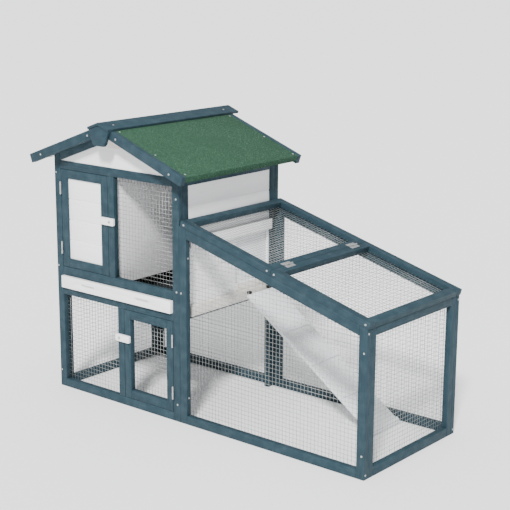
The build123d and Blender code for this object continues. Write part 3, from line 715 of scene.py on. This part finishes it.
@dataclass
class WireWork:
    """Welded wire panels with half-inch squares."""

    wardrobe: Wardrobe
    pitch: float = 12.7 * MM
    radius: float = 0.5 * MM
    sides: int = 6
    sheet_depth: float = 4 * MM
    sloped: tuple[str, ...] = ("run_front_mesh", "run_back_mesh")
    panels: dict[str, Facing] = field(default_factory=lambda: {
        "window_mesh": Facing.FRONT, "lower_front_mesh": Facing.FRONT, "lower_back_mesh": Facing.FRONT,
        "lower_door_mesh": Facing.FRONT, "lower_left_mesh": Facing.SIDE, "run_front_mesh": Facing.FRONT,
        "run_back_mesh": Facing.FRONT, "run_end_mesh": Facing.SIDE, "run_lid_mesh": Facing.SLOPE,
        "run_roof_panel_mesh": Facing.SLOPE})

    def wires(self, length: float, span: float, depth: float, upright: bool) -> bpy.types.Object:
        """Lay parallel wires side by side.

        Args:
            length: Length of each wire.
            span: Width that the wires cover.
            depth: How far the layer lies behind the panel's middle.
            upright: Whether the wires run up the panel or across it.

        Returns:
            One object with every wire, its middle at the origin.
        """
        count = max(2, round(span / self.pitch))
        step = span / count
        first = -span / 2 + step
        turn = (0.0, 0.0, 0.0) if upright else (0.0, math.pi / 2, 0.0)
        place = (first, depth, 0.0) if upright else (0.0, depth, first)
        deselect_all()
        bpy.ops.mesh.primitive_cylinder_add(vertices=self.sides, radius=self.radius, depth=length,
                                            location=place, rotation=turn)
        wire = bpy.context.object
        bpy.ops.object.transform_apply(location=True, rotation=True, scale=True)
        offset = (step, 0.0, 0.0) if upright else (0.0, 0.0, step)
        apply_modifier(wire, "ARRAY", count=count - 1, use_relative_offset=False, use_constant_offset=True,
                       constant_offset_displace=offset)
        return wire

    def sheet(self, width: float, height: float, name: str) -> bpy.types.Object:
        """Weld two layers of wire into one upright sheet around the origin."""
        uprights = self.wires(height, width, -self.radius * 0.9, True)
        crossers = self.wires(width, height, self.radius * 0.9, False)
        activate(uprights)
        crossers.select_set(True)
        bpy.ops.object.join()
        uprights.name = name
        uprights.data.name = name
        return uprights

    def cut_top(self, piece: bpy.types.Object, corner: Vector) -> None:
        """Cut the sheet along the sloping rail above it.

        Args:
            piece: The sheet in its place.
            corner: Where the slope meets the edge by the house.
        """
        slope = run_slope()
        activate(piece)
        bpy.ops.object.mode_set(mode="EDIT")
        bpy.ops.mesh.select_all(action="SELECT")
        bpy.ops.mesh.bisect(plane_co=corner, plane_no=(math.sin(slope), 0.0, math.cos(slope)), use_fill=True,
                            clear_outer=True)
        bpy.ops.object.mode_set(mode="OBJECT")

    def build(self) -> None:
        """Make every panel in its place."""
        for node, facing in self.panels.items():
            low, high = (Vector(corner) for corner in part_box(node))
            sloped = node in self.sloped
            if sloped:
                high.z = top_corner(node).z
            size = high - low
            turn = Matrix.Identity(4)
            width, height = size.x, size.z
            if facing is Facing.SIDE:
                width = size.y
                turn = Matrix.Rotation(math.pi / 2, 4, "Z")
            elif facing is Facing.SLOPE:
                slope = run_slope()
                width = (size.x - self.sheet_depth * math.sin(slope)) / math.cos(slope)
                height = size.y
                turn = Matrix.Rotation(slope, 4, "Y") @ Matrix.Rotation(-math.pi / 2, 4, "X")
            piece = self.sheet(width, height, node.replace("mesh", "wire"))
            piece.data.transform(Matrix.Translation((low + high) / 2) @ turn)
            if sloped:
                self.cut_top(piece, top_corner(node))
            activate(piece)
            bpy.ops.object.shade_smooth()
            self.wardrobe.dress(piece, "wire_zinc")
            stand_for(piece, node)
        log.info("wire panels made")


def run_slope() -> float:
    """Read the slope of the run's roof, in radians, from the frame under it."""
    points = [vertex.co for vertex in frame["nodes"]["run_front_frame"].data.vertices]
    high = max(points, key=lambda point: (round(point.z, 5), -point.x))
    far_x = max(point.x for point in points)
    far = max((point for point in points if far_x - point.x < 0.2 * MM), key=lambda point: point.z)
    return math.atan2(high.z - far.z, far.x - high.x)


def top_corner(node: str) -> Vector:
    """Find where the sloping top of a run panel meets its edge by the house.

    Args:
        node: A run side panel of the frame.

    Returns:
        The corner, level with the panel's middle in depth.
    """
    low, high = (Vector(corner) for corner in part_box(node))
    peak = max((vertex.co for vertex in frame["nodes"][node].data.vertices), key=lambda point: point.z)
    return Vector((low.x, (low.y + high.y) / 2, peak.z + (peak.x - low.x) * math.tan(run_slope())))


@dataclass
class Ironmongery:
    """Hinges, brackets, hooks and screws."""

    wardrobe: Wardrobe
    edge: float = 0.25 * MM
    recess: float = 0.45
    head_sides: int = 24
    slot_length: float = 1.1
    slot_width: float = 0.22
    house_middle: tuple[float, float, float] = (-0.309, 0.0, 0.4)
    plated: tuple[str, ...] = ("door_hinge_plates", "upper_door_hinges", "lower_door_hinges",
                               "lid_hinge_plates", "lid_hinges")
    dark: tuple[str, ...] = ("ramp_hooks", "ramp_brackets")

    def screw_head(self, radius: float, depth: float) -> bpy.types.Object:
        """Model one countersunk head with a cross recess around the origin, facing the front.

        Args:
            radius: Radius of the head.
            depth: Thickness of the head.

        Returns:
            The head.
        """
        deselect_all()
        bpy.ops.mesh.primitive_cylinder_add(vertices=self.head_sides, radius=radius, depth=depth,
                                            rotation=(math.pi / 2, 0.0, 0.0))
        head = bpy.context.object
        bpy.ops.object.transform_apply(location=True, rotation=True, scale=True)
        soften(head, depth * 0.45, 3, 40.0)
        for turn in (0.0, math.pi / 2):
            deselect_all()
            bpy.ops.mesh.primitive_cube_add(size=1.0, location=(0.0, -depth / 2, 0.0),
                                            rotation=(0.0, turn, 0.0))
            cutter = bpy.context.object
            cutter.scale = (radius * self.slot_length, depth * self.recess * 2, radius * self.slot_width)
            bpy.ops.object.transform_apply(location=True, rotation=True, scale=True)
            apply_modifier(head, "BOOLEAN", object=cutter, operation="DIFFERENCE", solver="EXACT")
            bpy.data.objects.remove(cutter)
        return head

    def screws(self, node: str) -> None:
        """Put a modelled head over every small head of a node."""
        heads = []
        for number, disc in enumerate(discs_of(node, Vector(self.house_middle))):
            head = self.screw_head(disc.radius, disc.depth)
            head.name = f"{node}_{number}"
            turn = Vector((0.0, -1.0, 0.0)).rotation_difference(disc.axis).to_matrix().to_4x4()
            head.data.transform(Matrix.Translation(disc.centre) @ turn)
            heads.append(head)
        activate(heads[0])
        for head in heads[1:]:
            head.select_set(True)
        bpy.ops.object.join()
        heads[0].name = node + "_heads"
        self.wardrobe.dress(heads[0], "plated_steel")
        stand_for(heads[0], node)

    def build(self) -> None:
        """Make every metal fitting."""
        for node in self.plated:
            piece = copy_of(node, node + "_steel")
            soften(piece, self.edge)
            self.wardrobe.dress(piece, "plated_steel")
        for node in self.dark:
            piece = copy_of(node, node + "_steel")
            soften(piece, self.edge)
            self.wardrobe.dress(piece, "dark_steel")
        self.screws("frame_screws")
        self.screws("lid_screws")
        pivots = copy_of("turn_button_screws", "pivot_screws")
        soften(pivots, self.edge)
        self.wardrobe.dress(pivots, "plated_steel")
        log.info("metal fittings made")


@dataclass
class Tray:
    """Plastic pan of the pull-out tray."""

    wardrobe: Wardrobe
    edge: float = 0.9 * MM

    def build(self) -> None:
        """Make the pan."""
        pan = copy_of("tray_pan", "plastic_pan")
        soften(pan, self.edge, 3)
        self.wardrobe.dress(pan, "black_plastic")
        log.info("tray made")


@dataclass
class Studio:
    """Floor, lights and camera."""

    wardrobe: Wardrobe
    azimuth: float = 39.7
    elevation: float = 13.53
    roll: float = 0.29
    distance: float = 3.895
    target: tuple[float, float, float] = (0.02607, 0.031, 0.481)
    lens: float = 90.6
    sensor: float = 36.0
    floor_size: float = 160.0

    def floor(self) -> None:
        """Lay a pale floor under the hutch."""
        deselect_all()
        bpy.ops.mesh.primitive_plane_add(size=self.floor_size, location=(0.0, 0.0, 0.0))
        ground = bpy.context.object
        ground.name = "studio_floor"
        self.wardrobe.dress(ground, "pale_floor")

    def sun(self, name: str, towards: Vector, strength: float, spread: float, colour: Colour) -> None:
        """Add a wide, soft light that reaches everything evenly.

        Args:
            name: Name of the light.
            towards: Direction from the hutch to the light.
            strength: Power on a square metre.
            spread: Angular width in degrees, which softens the shadows.
            colour: Colour of its light.
        """
        data = bpy.data.lights.new(name, "SUN")
        data.energy = strength
        data.angle = math.radians(spread)
        data.color = colour
        lamp = bpy.data.objects.new(name, data)
        lamp.rotation_euler = towards.to_track_quat("Z", "Y").to_euler()
        bpy.context.scene.collection.objects.link(lamp)

    def camera(self) -> None:
        """Stand the camera at the front right."""
        azimuth = math.radians(self.azimuth)
        elevation = math.radians(self.elevation)
        back = Vector((math.sin(azimuth) * math.cos(elevation), -math.cos(azimuth) * math.cos(elevation),
                       math.sin(elevation)))
        data = bpy.data.cameras.new("camera")
        data.lens = self.lens
        data.sensor_width = self.sensor
        data.dof.use_dof = False
        eye = bpy.data.objects.new("camera", data)
        eye.location = Vector(self.target) + back * self.distance
        level = back.to_track_quat("Z", "Y").to_matrix().to_4x4()
        turned = level @ Matrix.Rotation(math.radians(self.roll), 4, "Z")
        eye.rotation_euler = turned.to_euler()
        bpy.context.scene.collection.objects.link(eye)
        bpy.context.scene.camera = eye

    def build(self) -> None:
        """Set the stage."""
        self.floor()
        self.sun("key", Vector((0.36, -0.66, 0.66)), 6.6, 9.0, (1.0, 0.995, 0.985))
        self.sun("top", Vector((-0.1, -0.1, 1.0)), 1.3, 80.0, (0.98, 0.99, 1.0))
        world = bpy.data.worlds.new("studio")
        bpy.context.scene.world = world
        world.use_nodes = True
        background = world.node_tree.nodes["Background"]
        background.inputs["Color"].default_value = (0.97, 0.985, 1.0, 1.0)
        background.inputs["Strength"].default_value = 0.62
        self.camera()
        log.info("studio set")


def main() -> None:
    """Build the hutch piece by piece."""
    logging.basicConfig(level=logging.INFO, format="%(name)s: %(message)s")
    wardrobe = Wardrobe()
    Joinery(wardrobe).build()
    RoofCovering(wardrobe).build()
    WireWork(wardrobe).build()
    Ironmongery(wardrobe).build()
    Tray(wardrobe).build()
    Studio(wardrobe).build()


if __name__ == "__main__":
    main()
